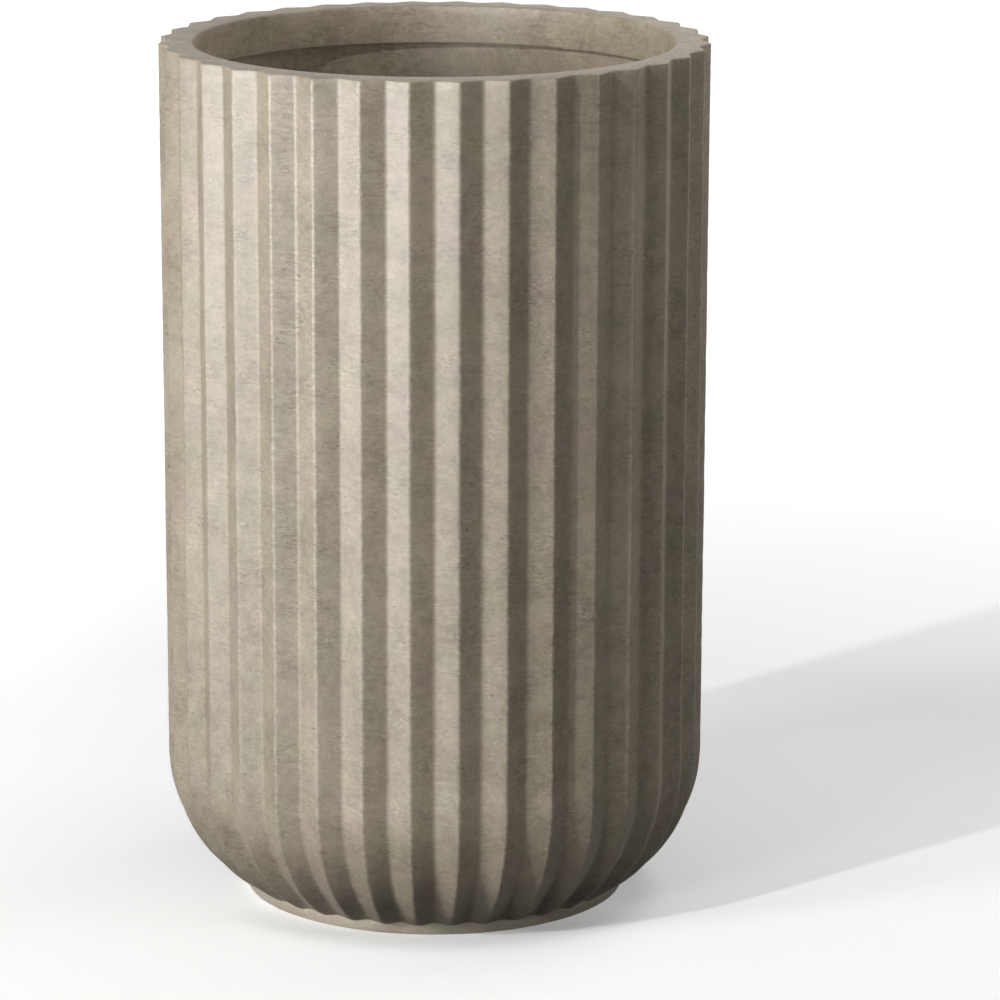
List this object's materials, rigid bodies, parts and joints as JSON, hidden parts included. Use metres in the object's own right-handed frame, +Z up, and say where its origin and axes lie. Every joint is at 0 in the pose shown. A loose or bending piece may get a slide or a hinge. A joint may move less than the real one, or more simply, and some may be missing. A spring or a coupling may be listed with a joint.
{
  "type": "fluted concrete planter",
  "caption": "Tall round planter in cast concrete with vertical flutes, a thick lipped rim, a rounded bottom on a low round foot, and a stoppered drain.",
  "frame": {"origin": "centre of the foot's underside, on the surface that the planter stands on", "axes": "+Z up along the planter's axis, out of the mouth; a flute's valley faces -Y and +X, so the flutes line up with the axes"},
  "size_m": [0.4404, 0.4404, 0.7],
  "materials": {
    "cast_concrete": "matte cast concrete with fine wiped streaks, pinholes and pale ridges",
    "foot_concrete": "matte cast concrete, smoother than the shell",
    "sleeve_plastic": "extruded dark grey plastic",
    "plug_rubber": "moulded black rubber"
  },
  "bodies": {
    "planter": {"fluted_body": "cast_concrete", "foot_plinth": "foot_concrete", "drain_sleeve": "sleeve_plastic"},
    "drain_plug": {"drain_plug": "plug_rubber"}
  },
  "joints": [
    {"name": "plug_lift", "type": "slide", "parent": "planter", "child": "drain_plug", "axis": [0, 0, 1], "range_m": [0, 0.72]}
  ]
}
